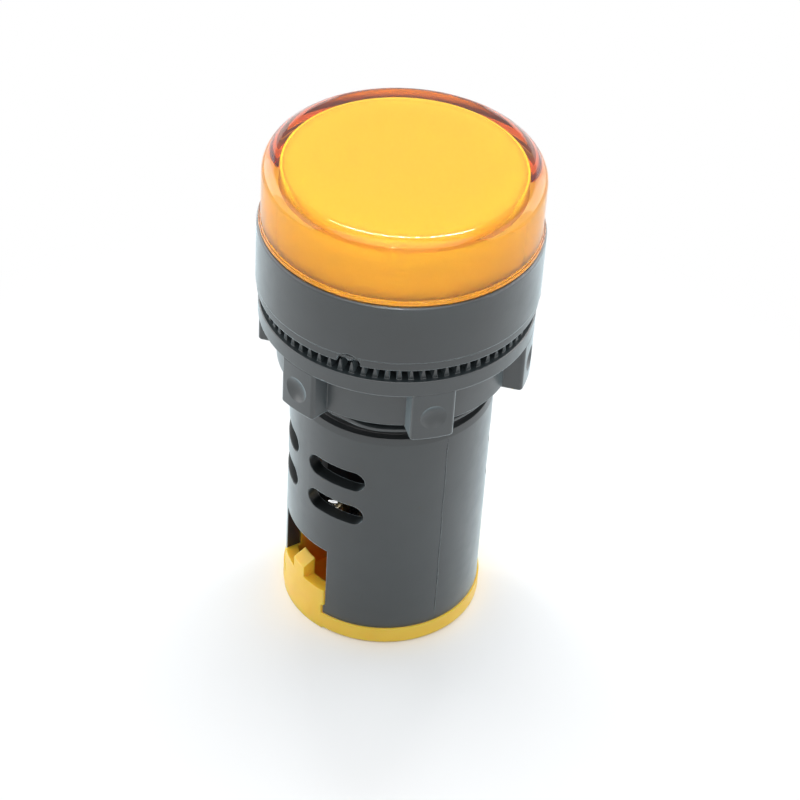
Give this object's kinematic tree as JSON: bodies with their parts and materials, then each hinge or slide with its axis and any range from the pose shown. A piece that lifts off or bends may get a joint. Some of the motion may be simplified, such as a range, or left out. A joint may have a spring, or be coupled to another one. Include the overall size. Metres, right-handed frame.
{
  "type": "panel pilot light",
  "caption": "Round panel indicator lamp with an amber lens, black bezel, threaded neck with a lugged lock nut, vented barrel and a yellow rear terminal block.",
  "frame": {"origin": "centre of the rear face, on which the lamp stands", "axes": "+Z along the lamp's axis towards the lens, X through the two wire windows"},
  "size_m": [0.029, 0.029, 0.0557],
  "materials": {
    "black_abs": "moulded, fine satin",
    "amber_lens": "clear amber, polished",
    "milky_diffuser": "milky, translucent",
    "black_rubber": "moulded",
    "seal_silicone": "moulded, milky",
    "board_laminate": "glass laminate with black solder resist",
    "chip_phosphor": "phosphor",
    "yellow_plastic": "moulded, slightly translucent",
    "component_black": "moulded epoxy",
    "can_sleeve": "shrunk sleeve",
    "resistor_lacquer": "dipped lacquer",
    "lead_insulation": "extruded",
    "nut_plastic": "moulded, fine satin",
    "terminal_brass": "stamped",
    "clamp_steel": "zinc plated",
    "screw_steel": "zinc plated"
  },
  "bodies": {
    "housing": {"housing": "black_abs", "lens_cap": "amber_lens", "diffuser": "milky_diffuser", "lens_seal": "seal_silicone", "lamp_board": "board_laminate", "lamp_chips": "chip_phosphor", "terminal_carrier": "yellow_plastic", "supply_board": "board_laminate", "bridge_rectifier": "component_black", "smoothing_capacitor": "can_sleeve", "dropping_resistors": "resistor_lacquer", "lead_positive": "lead_insulation", "lead_negative": "lead_insulation", "terminal_plate_right": "terminal_brass", "terminal_plate_left": "terminal_brass"},
    "gasket": {"panel_gasket": "black_rubber"},
    "nut": {"lock_nut": "nut_plastic"},
    "clamp_right": {"clamp_washer_right": "clamp_steel"},
    "screw_right": {"terminal_screw_right": "screw_steel"},
    "clamp_left": {"clamp_washer_left": "clamp_steel"},
    "screw_left": {"terminal_screw_left": "screw_steel"}
  },
  "joints": [
    {"name": "nut_travel", "type": "slide", "parent": "housing", "child": "gasket", "axis": [0, 0, -1], "range_m": [0, 0.0095]},
    {"name": "nut_turn", "type": "hinge", "parent": "gasket", "child": "nut", "pos_m": [0, 0, 0.0355], "axis": [0, 0, -1], "range_deg": [0, 2280.5]},
    {"name": "clamp_right_travel", "type": "slide", "parent": "housing", "child": "clamp_right", "axis": [0, 0, -1], "range_m": [0, 0.0026]},
    {"name": "screw_right_turn", "type": "hinge", "parent": "clamp_right", "child": "screw_right", "pos_m": [0.0042, 0, 0.007], "axis": [0, 0, -1], "range_deg": [0, 1872.5]},
    {"name": "clamp_left_travel", "type": "slide", "parent": "housing", "child": "clamp_left", "axis": [0, 0, -1], "range_m": [0, 0.0026]},
    {"name": "screw_left_turn", "type": "hinge", "parent": "clamp_left", "child": "screw_left", "pos_m": [-0.0042, 0, 0.007], "axis": [0, 0, -1], "range_deg": [0, 1872.5]}
  ],
  "couplings": [
    {"joint": "nut_turn", "follows": "nut_travel", "rad_per_m": 4188.8},
    {"joint": "screw_right_turn", "follows": "clamp_right_travel", "rad_per_m": 12566},
    {"joint": "screw_left_turn", "follows": "clamp_left_travel", "rad_per_m": 12566}
  ]
}
